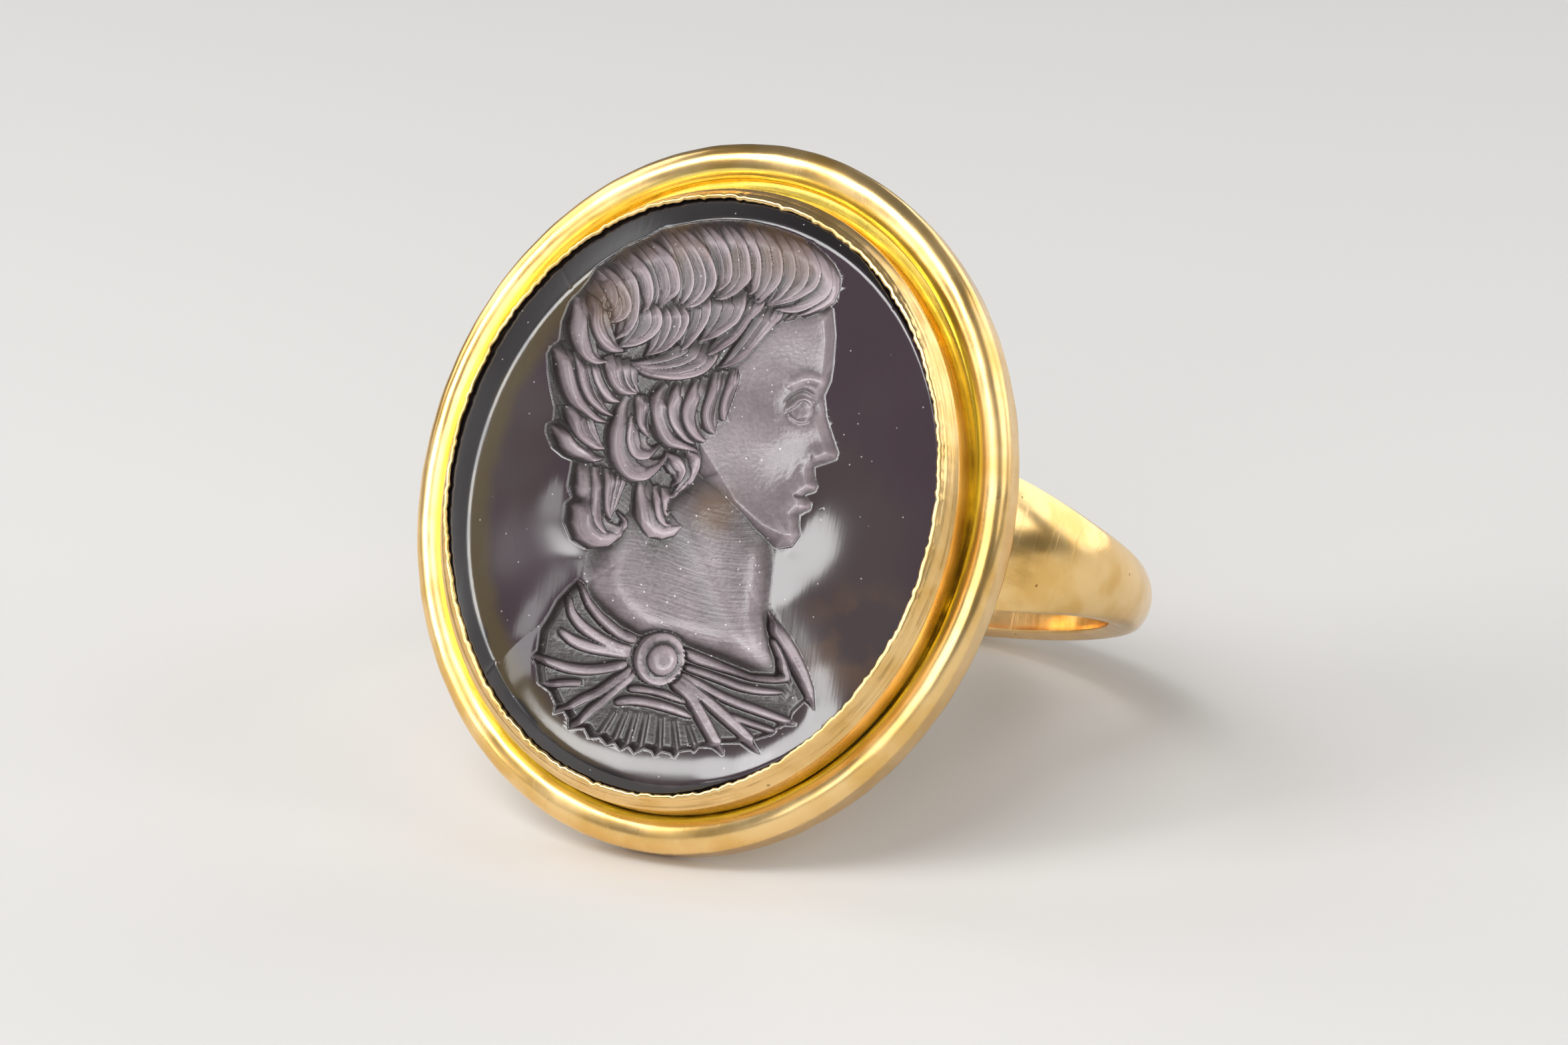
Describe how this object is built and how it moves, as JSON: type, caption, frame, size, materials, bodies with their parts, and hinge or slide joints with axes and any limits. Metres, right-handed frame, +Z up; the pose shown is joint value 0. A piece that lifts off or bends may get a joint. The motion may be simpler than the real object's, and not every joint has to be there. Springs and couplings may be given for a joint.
{
  "type": "intaglio finger ring",
  "caption": "Plain gold finger ring with flared shoulders and a moulded oval bezel, set with a dark gem engraved with a draped bust in profile.",
  "frame": {"origin": "on the table, under the middle of the ring's bounding box as it lies on its bezel's lower edge and the back of its hoop", "axes": "+Z up from the table, -Y the way the stone faces (28 degrees upwards), X from side to side across the finger"},
  "size_m": [0.0202, 0.0208, 0.0172],
  "materials": {
    "gold": "polished, with worn brushed mouldings",
    "gem": "polished front, matte engraving"
  },
  "bodies": {
    "root": {"gold_mount": "gold", "intaglio_stone": "gem"}
  },
  "joints": []
}
